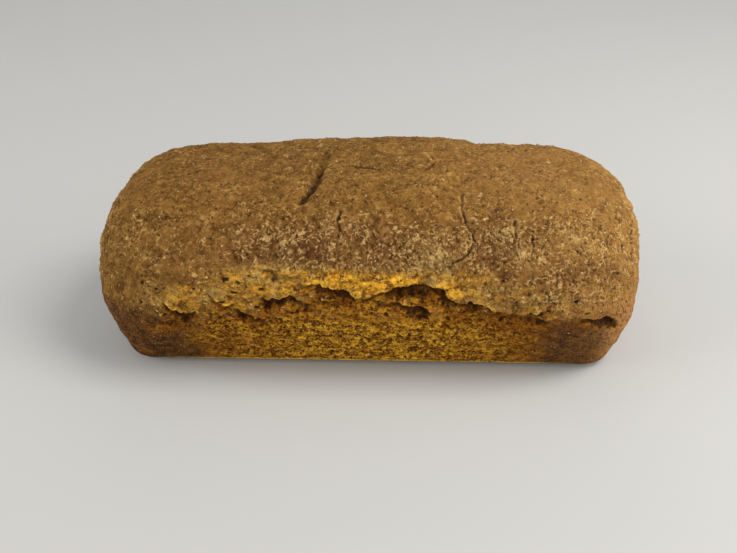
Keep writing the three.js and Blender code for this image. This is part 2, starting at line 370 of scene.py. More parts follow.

# folds and cracks in the crust, with painted shade in them and, beside the narrow ones, a pale edge that is partly
# painted highlight: half width, depth, how dark the painted shade is, points
FOLDS = (
    (3.6, 1.9, 0.36, ((-19, 19, 99), (-23, 3, 99), (-25, -13, 99), (-27, -24, 98), (-31, -39, 95))),
    (1.5, 1.0, 0.45, ((-20.5, 14, 99), (-22, 4, 99), (-23.5, -6, 99), (-25.5, -18, 98.6))),
    (2.4, 2.1, 0.95, ((-22.6, -1, 99), (-24.5, -14, 98.8), (-26, -22, 98.4), (-28, -30, 97.6), (-30.5, -37, 95.8), (-33.5, -44, 93))),
    (3.2, 1.3, 0.20, ((49, -20, 99), (50, -43, 94), (52, -49, 90), (56, -56, 83))),
    (0.75, 0.9, 0.32, ((49.5, -30, 98), (50.5, -36, 96.5), (49.6, -43, 94))),
    (0.8, 1.4, 0.80, ((49.6, -43, 94), (51.5, -47, 91.5), (52.2, -50, 89.5))),
    (0.7, 1.2, 0.80, ((52.2, -50, 89.5), (55, -54, 85), (56, -56.5, 82.5))),
    (1.05, 1.5, 1.0, ((-9, -7.5, 100), (-4, -9.6, 100), (0, -10.8, 100), (4, -12, 100), (10, -14.6, 100))),
    (1.8, 0.5, 0.10, ((-20, 5, 100), (-12, 1, 100), (-7, -8, 100))),
    (0.9, 1.4, 1.00, ((-12, -41, 93.5), (-11, -46, 92), (-12, -50, 89.5), (-10.8, -54, 86), (-11.5, -57, 82))),
    (0.95, 1.4, 1.0, ((36.5, -5, 101), (34.5, -9, 100), (33, -11, 100), (29.5, -15.5, 100))),
    (0.9, 0.9, 0.60, ((40, -2, 101), (36.5, -5, 101))),
    (0.9, 0.9, 0.55, ((75, -45, 91), (76.3, -48, 89), (75.6, -51, 86.5), (76.5, -54, 84))),
    (0.9, 0.8, 0.55, ((85, -52, 86), (84.2, -55, 83), (85.5, -58, 79))),
    (1.1, 1.5, 1.0, ((137, -27, 77.5), (137.3, -30, 76), (137, -34, 74))),
    (0.7, 1.3, 0.80, ((56, -56.5, 83), (54.2, -58, 80.5), (53.5, -60, 78.5), (50, -62, 76), (46, -63.5, 74.6), (41, -65, 73.5))),
    (0.8, 0.6, 0.50, ((41, -65, 73.5), (33, -66, 71.5), (25, -67, 69.5))),
    (0.8, 0.8, 0.60, ((108, 12, 97), (110, 9, 97), (112, 8, 97), (115, 10, 96))),
    (0.7, 0.6, 0.50, ((14, -24, 99), (18, -26, 98.5), (21, -25, 98.5))),
    (0.7, 0.6, 0.50, ((-68, -30, 96), (-64, -33, 95), (-60, -32, 95))),
    (0.7, 0.5, 0.45, ((92, -30, 96), (95, -34, 94), (94, -38, 92))),
    (3.0, 1.0, 0.20, ((66, 52, 88), (60, 40, 93), (62, 26, 96))),
    (0.8, 0.9, 0.60, ((66, 54, 87), (61, 44, 91.5), (60, 37, 94))),
    (0.8, 0.9, 0.70, ((-70, 30, 95), (-64, 26, 96), (-58, 27, 96))),
    (0.8, 0.9, 0.70, ((-40, 50, 89), (-43, 56, 85), (-40, 61, 80))),
    (3.0, 0.9, 0.25, ((-88, 8, 97), (-84, 30, 94), (-88, 48, 86))),
    (0.7, 0.9, 0.70, ((8, 44, 92), (14, 47, 90), (18, 52, 87))),
    (0.8, 0.9, 0.70, ((-141, 12, 66), (-142, 17, 62), (-142, 24, 60))),
    (0.8, 0.8, 0.70, ((143, 20, 70), (144, 14, 66), (144, 10, 60))),
)


def near_line(points, reach):
    pts = np.array(points, float)
    lo, hi = pts.min(0) - reach, pts.max(0) + reach
    m = np.nonzero(((P > lo) & (P < hi)).all(1))[0]
    q = P[m] + 0.5 * np.stack([n_rag[m], n_rag2[m], 0 * n_rag[m]], 1)
    best = np.full(len(m), 1e9)
    where = np.zeros(len(m))
    for k in range(len(pts) - 1):
        a, b = pts[k], pts[k + 1]
        ab = b - a
        s = np.clip(((q - a) @ ab) / (ab @ ab), 0, 1)
        d = np.linalg.norm(q - (a + s[:, None] * ab), axis=1)
        hit = d < best
        best = np.where(hit, d, best)
        where = np.where(hit, (k + s) / (len(pts) - 1), where)
    return m, best, where


for half, depth, tone, points in FOLDS:
    m, d, s = near_line(points, half * 3 + 1)
    ends = np.clip(np.minimum(s, 1 - s) * 6 + 0.15, 0, 1)
    wide = half * (0.6 + 0.4 * ends) * (1 + 0.25 * n_rag[m])
    cut = np.exp(-((d / wide) ** 2)) * ends * np.clip(0.9 + 0.4 * n_rag[m] + 0.2 * n_mid[m], 0.45, 1.2)
    height[m] -= depth * cut
    height[m] += 0.18 * depth * ends * np.exp(-(((d - 2.1 * wide) / (0.9 * wide)) ** 2))
    broken_up = 1 if half > 1.3 else np.clip(0.95 + 0.5 * n_rag2[m] + 0.35 * n_rag[m], 0.4, 1.2)
    painted_shade[m] = np.maximum(painted_shade[m], cut ** (1.0 if half < 1.65 else 1.5) * tone * broken_up)
    if half <= 1.2:
        fleck_and_highlight[m] = np.maximum(fleck_and_highlight[m], 0.55 * ends * band(d, 0.9 * half, 1.4 * half, 1.7 * half, 2.3 * half) * sstep(0.0, 0.5, n_rag[m] + 0.4 * n_rag2[m]))

# thin pale edges that stand up beside the crease, partly painted highlight: half width, height, points
for half, lift, points in (
    (0.55, 0.45, ((48.6, -40.5, 95), (48.4, -43.5, 93.8), (50.2, -47.4, 91.4), (51, -50.4, 89.4))),
    (0.6, 0.55, ((51.2, -50.4, 89.4), (53.9, -54.4, 85.2), (54.8, -56.9, 82.7), (52.9, -58.8, 80.2))),
    (0.5, 0.40, ((52.9, -58.8, 80.2), (48.8, -62.4, 76.4), (44.6, -63.8, 75))),
    (0.5, 0.35, ((-12.9, -41.5, 93.3), (-11.9, -46, 92), (-13, -50, 89.5))),
    (0.5, 0.35, ((-10, -54.5, 85.6), (-10.4, -57.5, 81.5), (-9.2, -60, 78))),
    (0.6, 0.45, ((30.5, 8, 101), (33.5, 1, 101), (36, -4, 101))),
    (0.6, 0.40, ((43.5, -18, 99), (44.6, -22, 98.6), (43.8, -27, 98))),
    (0.6, 0.40, ((22, -36, 96.4), (24.5, -38.5, 95.4), (27.5, -38.4, 95.4))),
    (0.5, 0.35, ((44, -26, 98), (45.6, -29, 97.4), (45, -33, 96.6))),
    (0.5, 0.30, ((77.3, -46, 90.3), (77.6, -50, 87.2), (76.6, -53, 85))),
):
    m, d, s = near_line(points, half * 3 + 1)
    ends = np.clip(np.minimum(s, 1 - s) * 6 + 0.2, 0, 1)
    k_ = np.exp(-((d / half) ** 2)) * ends * np.clip(0.7 + 0.7 * n_rag2[m] + 0.4 * n_fine[m], 0.05, 1.1)
    height[m] += lift * k_
    fleck_and_highlight[m] = np.maximum(fleck_and_highlight[m], 0.95 * k_)

# ------------------------------------------------------- kinds of surface
ax = np.abs(X)
rag6 = 5 * n_wide + 2.5 * n_mid
# crust that lay against the tin: the lower sides, smooth at the corners
wall = (1 - sstep(40, 50, Z + 0.6 * rag6)) * (1 - under)
mid_side = 1 - sstep(76, 100, ax + 1.6 * rag6)
coarse = wall * mid_side * np.maximum(front, back)
coarse = np.maximum(coarse, torn_and_shade * 0.9)
smooth = wall * (1 - coarse)

# shredded, layered bread: small ledges that run along the loaf
warp = 5.5 * noise(scaled(26, 26, 12), 21) + 2.2 * noise(scaled(9, 9, 5), 22)
saw = (Z + warp) / 4.3
saw = saw - np.floor(saw)
ledge = np.where(saw < 0.82, (saw / 0.82) ** 1.6, (1 - saw) / 0.18)
broken = sstep(-0.35, 0.35, noise(scaled(15, 15, 6), 23))
layers = noise(scaled(5.5, 5.5, 2.6), 24) + 0.7 * noise(scaled(2.4, 2.4, 1.3), 25)
height += coarse * up * (0.55 * (ledge - 0.5) * broken + 0.50 * layers + 0.28 * n_rag2)
# and the stretched crust just above the tears
stretch = band(Z, 54, 60, 68, 76) * np.maximum(front * (1 - sstep(60, 110, ax)), 0.8 * back * (1 - sstep(90, 120, ax)))
height += stretch * 0.3 * noise(scaled(10, 10, 2.0), 26)

# pits: open pores in the lower sides, a few in the crust, with painted shade in them
d1, r1 = cells(scaled(3.3, 3.3, 2.5), 1, 0.80)
pit1 = sstep(0.44, 0.14, d1 * (0.75 + 0.7 * r1) + 0.16 * n_rag2)
d2, r2 = cells(scaled(1.9, 1.9, 1.5), 2, 0.62)
pit2 = sstep(0.46, 0.2, d2 + 0.1 * n_rag)
d3, r3 = cells(scaled(6.5), 3, 0.5)
pit3 = sstep(0.21, 0.08, d3 * (0.7 + r3)) * (r3 > 0.35)
open_crumb = np.clip(coarse + 0.25 * smooth, 0, 1)
height -= up * open_crumb * (0.95 * pit1 * (0.35 + 0.65 * coarse) + 0.4 * pit2)
height -= (1 - open_crumb) * (1 - under) * (0.55 * pit3 + 0.16 * pit2 * sstep(0.0, 0.5, n_mid))
painted_shade = np.maximum(painted_shade, coarse * np.maximum(0.85 * pit1, 0.6 * pit2))
painted_shade = np.maximum(painted_shade, smooth * 0.35 * pit2)
painted_shade = np.maximum(painted_shade, (1 - open_crumb) * (0.62 * pit3))

# the crust's own skin: blisters, wrinkles and grit
top = 1 - np.clip(open_crumb + smooth, 0, 1)
d4, r4 = cells(scaled(4.6), 4, 0.7)
blister = sstep(0.5, 0.0, d4) * (0.3 + 0.7 * r4)
bend = 0.35 * np.stack([n_mid, n_rag, n_mid], 1)
wr = np.abs(noise(scaled(8.5) + bend, 31))
wrinkle = sstep(0.075, 0.0, wr) * sstep(0.05, 0.4, noise(scaled(17), 32))
wr2 = np.abs(noise(scaled(4.0) + bend, 33))
fine_wrinkle = sstep(0.13, 0.02, wr2) * sstep(0.0, 0.35, noise(scaled(9), 34))
d7, r7 = cells(scaled(3.0), 7, 0.36)
pock = sstep(0.36, 0.12, d7 * (0.7 + 0.7 * r7) + 0.10 * n_rag2)
billow = np.abs(noise(scaled(3.1), 35)) + 0.5 * np.abs(noise(scaled(1.6), 36))
belt = np.maximum(band(Z + 3 * n_mid, 66, 75, 84, 95) * np.maximum(front, back), 0.7 * tip * band(Z + 3 * n_mid, 50, 60, 80, 94))
belt = belt * (1 - 0.45 * sstep(-35, -80, X) * front)
belt = np.maximum(belt, 0.7 * front * band(Z + 4 * n_mid, 50, 57, 80, 90) * band(X, 56, 76, 122, 134))
rough_skin = 0.55 + 0.6 * belt + 0.35 * sstep(-0.2, 0.5, n_wide)
skin = rough_skin * (0.42 * blister + 0.36 * n_rag + 0.62 * (billow - 0.35) + 0.25 * n_rag2 + 0.15 * n_fine)
# short curled scraps of dough: a pale crest that is partly painted highlight, with painted shadow in a crack along one
# side
curl = noise(scaled(3.3) + 0.55 * np.stack([n_rag, n_rag2, n_mid], 1), 51)
curl_here = noise(scaled(4.4), 52) + 0.42 * belt + 0.35 * noise(scaled(19), 53) + 0.10 * np.clip(X / 100, -1, 1)
curl_here = sstep(0.26, 0.60, curl_here) * top * up
scraps_and_highlight = np.exp(-(((curl - 0.04) / 0.09) ** 2)) * curl_here
crack_and_shadow = np.exp(-(((curl + 0.22) / 0.09) ** 2)) * curl_here
curl2 = noise(scaled(1.9) + 0.4 * np.stack([n_rag2, n_fine, n_rag], 1), 54)
curl2_here = sstep(0.10, 0.40, noise(scaled(2.9), 55) + 0.45 * belt + 0.25 * n_mid - 0.15) * top * up
scraps2_and_highlight = np.exp(-(((curl2 - 0.10) / 0.13) ** 2)) * curl2_here
crack2_and_shadow = np.exp(-(((curl2 + 0.35) / 0.14) ** 2)) * curl2_here
height += top * up * (skin - 0.45 * wrinkle - 0.30 * fine_wrinkle - 0.50 * pock * rough_skin)
height += 0.42 * scraps_and_highlight - 0.40 * crack_and_shadow + 0.22 * scraps2_and_highlight - 0.20 * crack2_and_shadow
# painted shadow in the cracks beside the scraps
painted_shade = np.maximum(painted_shade, 0.62 * crack_and_shadow * sstep(-0.1, 0.5, n_rag) + 0.15 * crack2_and_shadow)
lump = np.abs(noise(scaled(2.9, 2.9, 2.2), 56)) + 0.6 * np.abs(noise(scaled(1.5, 1.5, 1.2), 57))
height += coarse * (0.9 * (lump - 0.35) + 0.15 * n_fine) * up + smooth * (0.16 * n_rag + 0.12 * n_rag2)
# painted shade in the wrinkles and pocks
painted_shade = np.maximum(painted_shade, top * np.maximum(np.maximum(0.50 * wrinkle, 0.35 * fine_wrinkle), 0.75 * pock * (0.3 + 0.7 * r7)))
# painted light and shade from the relief: darker in its hollows, paler on its crests
relief_light_shade = 0.5 + 0.9 * (top * (skin + 0.26 * n_bump + 0.16 * n_mid) + coarse * (0.22 * layers + 0.9 * (lump - 0.38)) + smooth * 0.3 * n_rag)

# bran and flour: raised flakes and crumbs
d5, r5 = cells(scaled(2.6, 2.6, 2.2), 5, 0.42)
f1 = sstep(0.30, 0.16, d5 * (0.75 + 0.7 * r5) + 0.08 * n_rag2)
d6, r6 = cells(scaled(4.4), 6, 0.5)
f2 = sstep(0.25, 0.15, d6 * (0.8 + 0.5 * r6) + 0.05 * n_rag)
fleck_and_highlight = np.maximum(fleck_and_highlight, f1 * (0.03 + 0.22 * belt) * (0.2 + 0.8 * sstep(-0.3, 0.5, n_wide + n_mid)) + f2 * (0.10 + 0.12 * belt))
# the pale crests of the scraps, partly painted highlight
fleck_and_highlight = np.maximum(fleck_and_highlight, np.maximum(scraps_and_highlight * (0.70 + 0.45 * belt + 0.5 * n_rag2), scraps2_and_highlight * (0.08 + 0.18 * belt + 0.4 * n_fine)))
fleck_and_highlight *= (1 - under) * (1 - 0.55 * smooth)
height += fleck_and_highlight * 0.16


def flakes(total, seed, length, breadth, weight, lift):
    """Single flakes of bran, each lying its own way."""
    rng = np.random.default_rng(seed)
    prob = weight / weight.sum()
    centres = rng.choice(count, total, p=prob, replace=False)
    cell = 4.0
    key3 = np.floor((P - P.min(0)) / cell).astype(np.int64) + 1
    dims = key3.max(0) + 2
    key = (key3[:, 0] * dims[1] + key3[:, 1]) * dims[2] + key3[:, 2]
    order = np.argsort(key, kind="stable")
    ks, start = np.unique(key[order], return_index=True)
    stop = np.append(start[1:], count)
    spans = dict(zip(ks.tolist(), zip(start.tolist(), stop.tolist())))
    for c in centres:
        la = length * rng.uniform(0.5, 1.2)
        lb = breadth * rng.uniform(0.6, 1.2)
        turn, tone, phase = rng.uniform(0, np.pi), rng.uniform(0.45, 1.0), rng.uniform(0, 6.28)
        got = []
        for a in (-1, 0, 1):
            for b in (-1, 0, 1):
                for g in (-1, 0, 1):
                    kk = key3[c] + (a, b, g)
                    s = spans.get(int((kk[0] * dims[1] + kk[1]) * dims[2] + kk[2]))
                    if s:
                        got.append(order[s[0] : s[1]])
        m = np.concatenate(got)
        d = P[m] - P[c]
        n = N[c]
        t1 = np.cross(n, (0, 0, 1.0) if abs(n[2]) < 0.9 else (1.0, 0, 0))
        t1 /= np.linalg.norm(t1)
        t2 = np.cross(n, t1)
        ca, sa = math.cos(turn), math.sin(turn)
        a, b = d @ (ca * t1 + sa * t2), d @ (-sa * t1 + ca * t2)
        ang = np.arctan2(b / lb, a / la)
        r = np.hypot(a / la, b / lb) * (1 + 0.22 * np.sin(3 * ang + phase) + 0.12 * np.sin(7 * ang - phase))
        k = sstep(1.15, 0.75, r)
        fleck_and_highlight[m] = np.maximum(fleck_and_highlight[m], k * tone)
        height[m] += lift * k * (1 + 0.5 * a / la)


def curls(total, seed, weight):
    """Curled shreds of dried dough: a pale crest, partly painted highlight, with a crack beside it darkened by painted
    shadow.
    """
    rng = np.random.default_rng(seed)
    prob = weight / weight.sum()
    tree = np.argsort(X, kind="stable")
    xs = X[tree]
    for c in rng.choice(count, total, p=prob, replace=False):
        half, width = rng.uniform(0.7, 2.3), rng.uniform(0.35, 0.7)
        bend, kink, turn = rng.normal(0, 0.10), rng.normal(0, 0.035), rng.uniform(0, np.pi)
        tone = rng.uniform(0.5, 1.0)
        lo, hi = np.searchsorted(xs, (X[c] - half - 1.5, X[c] + half + 1.5))
        m = tree[lo:hi]
        m = m[(np.abs(Y[m] - Y[c]) < half + 1.5) & (np.abs(Z[m] - Z[c]) < half + 1.5)]
        n = N[c]
        t1 = np.cross(n, (0, 0, 1.0) if abs(n[2]) < 0.9 else (1.0, 0, 0))
        t1 /= np.linalg.norm(t1)
        t2 = np.cross(n, t1)
        ca, sa = math.cos(turn), math.sin(turn)
        d = P[m] - P[c]
        a, b = d @ (ca * t1 + sa * t2), d @ (-sa * t1 + ca * t2)
        off = b - bend * a * a - kink * a**3 + 0.35 * n_rag2[m] + 0.5 * n_rag[m]
        along = 1 - sstep(0.55 * half, half, np.abs(a))
        crest_and_highlight = along * np.exp(-((off / width) ** 2)) * np.clip(0.55 + 0.9 * n_fine[m] + 0.5 * n_rag2[m], 0, 1.1)
        curl_crack_and_shadow = along * np.exp(-(((off + 2.0 * width) / (1.1 * width)) ** 2))
        height[m] += 0.40 * crest_and_highlight - 0.38 * curl_crack_and_shadow
        fleck_and_highlight[m] = np.maximum(fleck_and_highlight[m], 0.75 * tone * crest_and_highlight)
        painted_shade[m] = np.maximum(painted_shade[m], 0.55 * tone * curl_crack_and_shadow)


busier = 1 - 0.6 * sstep(-35, -75, X) - 0.7 * sstep(55, 90, X)  # the belt is plainer towards the ends
curls_here = up * (1 - under) * (1 - wall) * (0.05 + belt) * sstep(-0.25, 0.45, noise(scaled(13), 81) + 0.3 * n_rag)
curls(330, 13, curls_here * busier)

lie = (1 - under) * (0.25 + belt + 0.3 * stretch) * busier
flakes(190, 3, 1.2, 0.45, lie * (1 - 0.8 * wall), 0.22)
flakes(620, 5, 0.75, 0.42, lie**1.5 * (1 - 0.5 * wall), 0.14)

# larger pale scraps of dough and flour: x, y, z, radius
for hx, hy, hz, r in (
    (71.9, -51.6, 85.9, 2.6), (75, -50, 86, 1.6), (106.4, -51.5, 82.2, 2.1), (38.9, -61, 78.4, 2.8), (35, -62, 76, 1.8),
    (-62, -52.6, 84.6, 1.5), (79.6, -59.4, 77.4, 1.9), (17.2, -52.7, 87.7, 1.3), (-5.7, -51.3, 88.4, 1.3),
    (-46.6, -55.9, 82, 2.0), (-39, -57.1, 81, 1.8), (26.6, -57, 83.4, 1.6), (-15, -60, 79, 1.5), (90, -61.4, 74.2, 1.5),
    (130, -39.8, 77, 1.6), (-120, -46, 76, 1.5), (-98, -58, 72, 1.4), (-83, -63, 66, 1.8), (59, -34, 96.2, 1.1),
    (60, 54, 84, 2.0), (-30, 58, 80, 2.2), (-80, 52, 84, 1.6), (20, 60, 78, 1.6), (141, 10, 72, 1.6), (-140, -14, 74, 1.5),
):
    d = np.sqrt((X - hx) ** 2 + (Y - hy) ** 2 + (Z - hz) ** 2)
    near_ = d < r * 4 + 6
    d = np.linalg.norm(P[near_] - P[np.argmin(d)], axis=1) * (1 + 0.6 * n_rag[near_] + 0.7 * n_rag2[near_] + 0.5 * n_fine[near_])
    k_ = sstep(0.95, 0.5, d / r)
    height[near_] += 0.22 * k_
    fleck_and_highlight[near_] = np.maximum(fleck_and_highlight[near_], 0.85 * k_)

# single open holes, with painted shade in them: x, y, z, radius, depth
for hx, hy, hz, r, deep_ in (
    (-68, -66, 65, 1.5, 1.6), (-56, -64, 66, 0.8, 0.7), (-40, -48, 90, 0.9, 0.8), (-52, -37, 94, 0.9, 0.9),
    (-26, -55, 85, 0.7, 0.8), (68, -42, 92, 0.7, 0.7), (88, -33, 95, 0.7, 0.6), (84.5, -55, 83, 0.8, 0.8),
    (-16, -40, 95, 0.9, 0.9), (-112, -62, 60, 1.2, 0.9), (-104, -65, 58, 0.8, 0.7), (121, -57, 62, 0.9, 0.8),
    (126, -54, 55, 1.0, 0.9), (18, -66, 71, 0.9, 0.8), (-84, -67, 60, 0.8, 0.8), (70, -67, 66, 0.7, 0.6),
    (-30, 60, 78, 1.2, 1.1), (40, 62, 76, 1.3, 1.2), (96, 55, 70, 1.0, 1.0), (-100, 58, 66, 1.2, 1.1),
    (142, -6, 74, 1.1, 1.0), (-140, 8, 78, 1.1, 1.0), (12, 30, 97, 0.9, 0.8), (-36, 22, 98, 0.9, 0.8),
):
    d = np.sqrt((X - hx) ** 2 + (Y - hy) ** 2 + (Z - hz) ** 2)
    near_ = d < r * 4 + 6
    # the centre is dropped on to the surface first
    c = np.argmin(d)
    d = np.linalg.norm((P[near_] - P[c]) * (0.8, 1, 1.15), axis=1) * (1 + 0.45 * n_rag2[near_] + 0.3 * n_fine[near_])
    k_ = sstep(1.25, 0.45, d / r)
    height[near_] -= deep_ * k_
    painted_shade[near_] = np.maximum(painted_shade[near_], k_ * min(1, 0.3 + 0.5 * r))

# floury, greyish patches where dough was dusted
flour = np.zeros(count)
for fx, fz, rx, rz, amount in (
    (-45, 67, 20, 5.5, 0.75), (-78, 58, 11, 4.0, 0.9), (34, 71, 10, 8.0, 0.85),
    (60, 60, 14, 5, 0.35), (-98, 58, 14, 5, 0.35), (90, 54, 16, 4, 0.35),
):
    flour = np.maximum(flour, amount * front * np.exp(-(((X - fx) / rx) ** 2) - ((Z - fz) / rz) ** 2))
for fx, fz, rx, rz, amount in ((-60, 68, 24, 6, 0.7), (52, 69, 20, 6, 0.7), (90, 60, 16, 5, 0.5)):
    flour = np.maximum(flour, amount * back * np.exp(-(((X - fx) / rx) ** 2) - ((Z - fz) / rz) ** 2))
for fx, fy, fz, r in ((71, -53, 85, 4.5), (106, -52, 82, 3.0), (77, -59, 77, 3.0), (40, -64, 74, 6), (-70, 40, 90, 4), (30, 55, 84, 4)):
    flour = np.maximum(flour, 0.9 * np.exp(-((X - fx) ** 2 + (Y - fy) ** 2 + (Z - fz) ** 2) / r**2))
flour = flour * np.clip(0.65 + 1.0 * n_rag + 0.4 * n_mid + 0.7 * n_rag2, 0, 1.15)

# golden: fresh bread that opened late, partly its own colour and partly a painted warm reflection from below; palest at
# the edges of the tears, where the painted highlight is added
side = np.maximum(front, back)
# painted highlight: a thin bright line along the foot
rim_highlight = np.maximum(rim_highlight, side * band(Z + 0.4 * n_rag, 2.0, 3.2, 4.6, 6.2) * np.clip(0.85 + 0.6 * n_mid, 0.3, 1) * (1 - sstep(80, 118, ax)))
low_gold_and_reflection = coarse * (1 - np.where(X > 0, 0.72, 0.55) * sstep(26, 80, np.abs(X - 6) + rag6))
upper_gold_and_reflection = side * band(Z + 0.3 * rag6, 55, 60, 67, 73) * (1 - sstep(38, 72, ax + rag6))
upper_gold_and_reflection = np.maximum(upper_gold_and_reflection, 0.62 * side * band(Z + 0.3 * rag6, 60, 63, 68, 72) * band(-X, 20, 34, 62, 84))
upper_gold_and_reflection = np.maximum(upper_gold_and_reflection, np.where(front * (X > 0) > 0.5, 0.22, 0.52) * side * band(Z + 2 * n_mid, 43, 48, 60, 66) * band(ax, 40, 60, 92, 108))
strands = 0.5 + 0.8 * noise(scaled(16, 16, 2.4), 71) + 0.5 * noise(scaled(7, 7, 1.3), 72)
upper_gold_and_reflection = upper_gold_and_reflection * np.clip(np.where(X < -30, 0.48, 0.62) + 0.8 * strands, 0.12, 1.15)
gold_and_reflection = np.clip(np.maximum(low_gold_and_reflection, 0.94 * upper_gold_and_reflection) + 0.4 * rim_highlight, 0, 1)

purple = np.clip(belt * (0.55 + 0.6 * n_wide) * (1 - sstep(95, 120, ax)), 0, 1)
for fx, fz, rx, rz in ((113, 68, 8, 5), (100, 67, 11, 5), (124, 63, 6, 7), (86, 66, 9, 4), (72, 69, 8, 4), (-18, 59.5, 12, 2.5), (24, 51.5, 14, 3.2), (8, 55, 8, 2.5), (80, 47, 20, 3.5), (60, 51, 9, 2.5), (108, 40, 16, 6), (-96, 37, 12, 4), (-44, 51.5, 9, 2.5), (-38, 78, 16, 6), (12, 80, 14, 5), (-92, 62, 9, 4)):
    purple = np.maximum(purple, front * np.exp(-(((X - fx) / rx) ** 2) - ((Z - fz) / rz) ** 2) * np.clip(0.8 + 0.6 * n_rag, 0, 1.2))

# painted light and shade: paler and warmer towards the right and at both rounded ends, where the side lights fall,
# darker towards the left on the upper crust
painted_side_light = (1 - wall) * (0.5 + 0.5 * np.clip(X / 120, -1, 1)) + wall * np.where(X > 0, 0.40 * sstep(70, 110, X) + 0.50 * tip, 0.35 * tip)

# ------------------------------------------------------------ the surface
keep = 1 - under
lift_under = under * (0.35 + 0.35 * noise(scaled(6), 41) + 0.5 * pit1) * sstep(0, 8, 8.0)
Q = P + N * (height * keep)[:, None] + slide * keep[:, None]
flat = P[:, 2] < 0.02
Q[flat, 2] = np.maximum(lift_under[flat] - 0.35, 0)
Q[:, 2] = np.maximum(Q[:, 2], 0)
Q[:, 0] += TO_CAD[0]
Q[:, 1] += TO_CAD[1]
# painted shade in the pits of the underside
under_pit_shade = under * np.maximum(0.45 * pit1, 0.25 * pit2)
painted_shade = np.clip(np.maximum(painted_shade, under_pit_shade), 0, 1)
smooth = np.maximum(smooth, under * 0.9)

# ------------------------------------------------------------------- mesh
# faces and a map that lays the six sides of the blank apart
quads, maps = [], []
GAP = 6.0


def patch(grid, flip, at, size, turn=False):
    """grid: ids (a, b). at, size: place on the map, in cells."""
    na, nb = grid.shape[0] - 1, grid.shape[1] - 1
    a, b = np.meshgrid(np.arange(na), np.arange(nb), indexing="ij")
    a, b = a.ravel(), b.ravel()
    corner = ((0, 0), (1, 0), (1, 1), (0, 1))
    if flip:
        corner = corner[::-1]
    q = np.stack([grid[a + i, b + j] for i, j in corner], 1)
    fa = np.stack([(a + i) / na for i, j in corner], 1)
    fb = np.stack([(b + j) / nb for i, j in corner], 1)
    if turn:
        fa, fb = fb, fa
    quads.append(q)
    maps.append(np.stack([at[0] + fa * size[0], at[1] + fb * size[1]], 2))


WIDE = NX + NZ + 3 * GAP
patch(ids[:, :, -1], False, (GAP, GAP), (NX, NY))  # top
patch(ids[:, 0, :], False, (GAP, NY + 2 * GAP), (NX, NZ))  # front
patch(ids[:, -1, :], True, (GAP, NY + NZ + 3 * GAP), (NX, NZ))  # back
patch(ids[-1, :, :], False, (NX + 2 * GAP, GAP), (NZ, NY), turn=True)  # right end
patch(ids[0, :, :], True, (NX + 2 * GAP, NY + 2 * GAP), (NZ, NY), turn=True)  # left end
patch(ids[:, :, 0], True, (NX + 2 * GAP, 2 * NY + 3 * GAP), (NZ, NZ * 0.8))  # bottom
quads = np.concatenate(quads).astype(np.int32)
maps = np.concatenate(maps)
maps = (maps / max(maps.max() + GAP, WIDE)).astype(np.float32)

mesh = bpy.data.meshes.new("loaf_crust")
mesh.vertices.add(count)
mesh.vertices.foreach_set("co", (Q * 0.001).astype(np.float32).ravel())
mesh.loops.add(quads.size)
mesh.loops.foreach_set("vertex_index", quads.ravel())
mesh.polygons.add(len(quads))
mesh.polygons.foreach_set("loop_start", np.arange(0, quads.size, 4, dtype=np.int32))
mesh.polygons.foreach_set("use_smooth", np.ones(len(quads), bool))
mesh.update(calc_edges=True)
mesh.uv_layers.new(name="OFBake").data.foreach_set("uv", maps.reshape(-1))


def masks(name, *channels):
    layer = mesh.attributes.new(name, "FLOAT_COLOR", "POINT")
    values = np.ones((count, 4), np.float32)
    for k, c in enumerate(channels):
        values[:, k] = np.clip(c, 0, 1)
    layer.data.foreach_set("color", values.ravel())


masks("kinds", coarse, smooth, gold_and_reflection)
masks("marks", painted_shade, fleck_and_highlight, flour)
masks("tones", purple, rim_highlight, torn_and_shade)
masks("zones", belt, painted_side_light, relief_light_shade)
mesh.validate()

loaf = bpy.data.objects.new("loaf_crust", mesh)
bpy.context.scene.collection.objects.link(loaf)
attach(loaf, "root")
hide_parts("loaf")


# --------------------------------------------------------------- material
def lin(r, g, b):
    def one(c):
        c /= 255
        return c / 12.92 if c <= 0.04045 else ((c + 0.055) / 1.055) ** 2.4

    return one(r), one(g), one(b), 1.0


def bread(r, g, b, strength=0.62, blue=0.56):
    r, g, b, a = lin(r, g, b)
    return r * strength, g * 0.955 * strength, b * blue * strength, a


def fresh(r, g, b, blue=0.17):
    return bread(r, g * 0.92, b, 0.97, blue)


mat = bpy.data.materials.new("bread_crust")
mat.use_nodes = True
nt = mat.node_tree
nt.nodes.clear()


def node(kind, **values):
    n = nt.nodes.new(kind)
    for k, val in values.items():
        setattr(n, k, val)
    return n


def link(a, b):
    nt.links.new(a, b)


def mix(fac, a, b, blend="MIX"):
    n = node("ShaderNodeMix", data_type="RGBA", blend_type=blend, clamp_factor=True)
    for sock, val in ((n.inputs[0], fac), (n.inputs[6], a), (n.inputs[7], b)):
        if isinstance(val, bpy.types.NodeSocket):
            link(val, sock)
        else:
            sock.default_value = val
    return n.outputs[2]


def math_(op, a, b=0.0, c=None, clamp=False):
    n = node("ShaderNodeMath", operation=op, use_clamp=clamp)
    for k, val in enumerate((a, b) if c is None else (a, b, c)):
        if isinstance(val, bpy.types.NodeSocket):
            link(val, n.inputs[k])
        else:
            n.inputs[k].default_value = val
    return n.outputs[0]


def span(x, lo, hi, to_lo=0.0, to_hi=1.0):
    n = node("ShaderNodeMapRange", interpolation_type="SMOOTHSTEP")
    link(x, n.inputs["Value"])
    n.inputs["From Min"].default_value, n.inputs["From Max"].default_value = lo, hi
    n.inputs["To Min"].default_value, n.inputs["To Max"].default_value = to_lo, to_hi
    return n.outputs["Result"]


place = node("ShaderNodeTexCoord").outputs["Object"]


